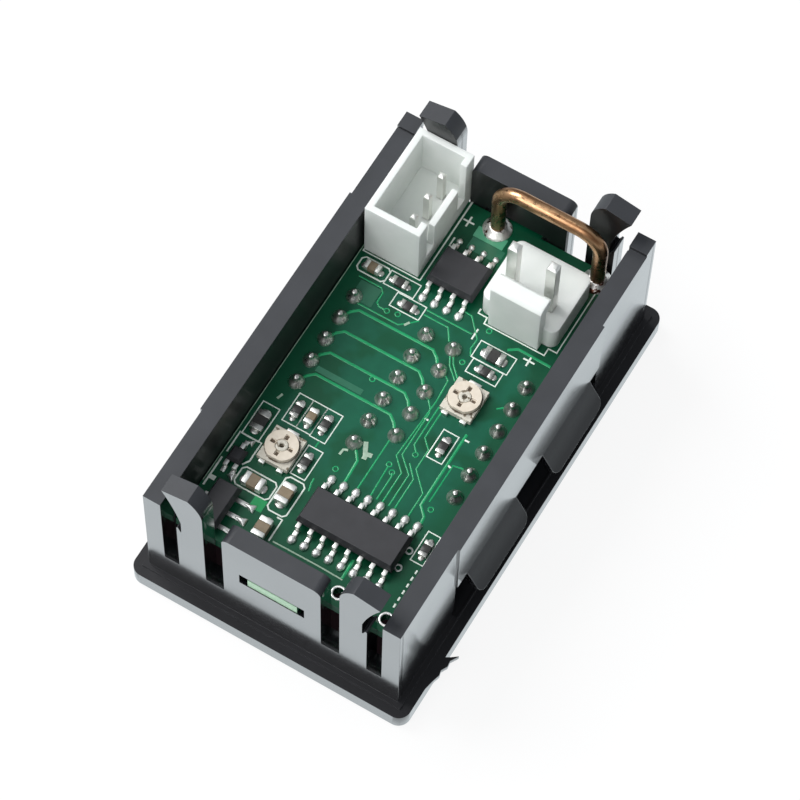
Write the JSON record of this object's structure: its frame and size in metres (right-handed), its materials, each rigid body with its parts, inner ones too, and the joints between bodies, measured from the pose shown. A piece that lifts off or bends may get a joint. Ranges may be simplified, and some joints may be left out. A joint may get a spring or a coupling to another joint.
{
  "type": "digital panel meter",
  "caption": "Snap-in panel meter for voltage and current, face down, its open rear showing the circuit board, plug connectors, trimmers and copper shunt wire.",
  "frame": {"origin": "centre of the bezel's front face, which the meter lies on", "axes": "+X along the case to the connector end, +Y to the three-pin socket's side, +Z from the bezel's front face to the open rear"},
  "size_m": [0.048, 0.0304, 0.0213],
  "materials": {
    "case_black": "glossy black ABS",
    "window_smoke": "dark tinted clear plastic",
    "board_green": "green solder mask",
    "nylon_white": "satin natural nylon",
    "tin": "bright tin plate",
    "solder": "bright solder",
    "copper": "bare drawn copper",
    "epoxy_black": "moulded epoxy",
    "display_shell": "black display shell",
    "segment_grey": "unlit translucent segments",
    "resistor_black": "glazed black film",
    "capacitor_tan": "tan ceramic",
    "trimmer_white": "off-white ceramic",
    "rotor_beige": "beige heat-proof plastic"
  },
  "bodies": {
    "meter": {"amplifier_chip": "epoxy_black", "amplifier_leads": "tin", "capacitor_1": "capacitor_tan", "capacitor_2": "capacitor_tan", "capacitor_3": "capacitor_tan", "capacitor_4": "capacitor_tan", "capacitor_5": "capacitor_tan", "capacitor_terminals": "tin", "chip_solder": "solder", "circuit_board": "board_green", "controller_chip": "epoxy_black", "controller_leads": "tin", "current_display": "display_shell", "current_display_pins": "tin", "current_display_solder": "solder", "current_segments": "segment_grey", "front_window": "window_smoke", "header_pin_1": "tin", "header_pin_2": "tin", "housing": "case_black", "regulator": "epoxy_black", "regulator_leads": "tin", "resistor_1": "resistor_black", "resistor_10": "resistor_black", "resistor_2": "resistor_black", "resistor_3": "resistor_black", "resistor_4": "resistor_black", "resistor_5": "resistor_black", "resistor_6": "resistor_black", "resistor_7": "resistor_black", "resistor_8": "resistor_black", "resistor_9": "resistor_black", "resistor_terminals": "tin", "shunt_solder_1": "solder", "shunt_solder_2": "solder", "shunt_wire": "copper", "small_transistor": "epoxy_black", "socket_pin_1": "tin", "socket_pin_2": "tin", "socket_pin_3": "tin", "three_pin_socket": "nylon_white", "transistor_leads": "tin", "trimmer_base_1": "trimmer_white", "trimmer_base_2": "trimmer_white", "trimmer_tabs_1": "tin", "trimmer_tabs_2": "tin", "two_pin_header": "nylon_white", "voltage_display": "display_shell", "voltage_display_pins": "tin", "voltage_display_solder": "solder", "voltage_segments": "segment_grey"},
    "current_trimmer": {"trimmer_rotor_1": "rotor_beige"},
    "voltage_trimmer": {"trimmer_rotor_2": "rotor_beige"}
  },
  "joints": [
    {"name": "current_trimmer_turn", "type": "hinge", "parent": "meter", "child": "current_trimmer", "pos_m": [-0.01015, 0.00655, 0.0116], "axis": [0, 0, 1], "range_deg": [-130, 130]},
    {"name": "voltage_trimmer_turn", "type": "hinge", "parent": "meter", "child": "voltage_trimmer", "pos_m": [0.0025, -0.005, 0.0116], "axis": [0, 0, 1], "range_deg": [-130, 130]}
  ]
}
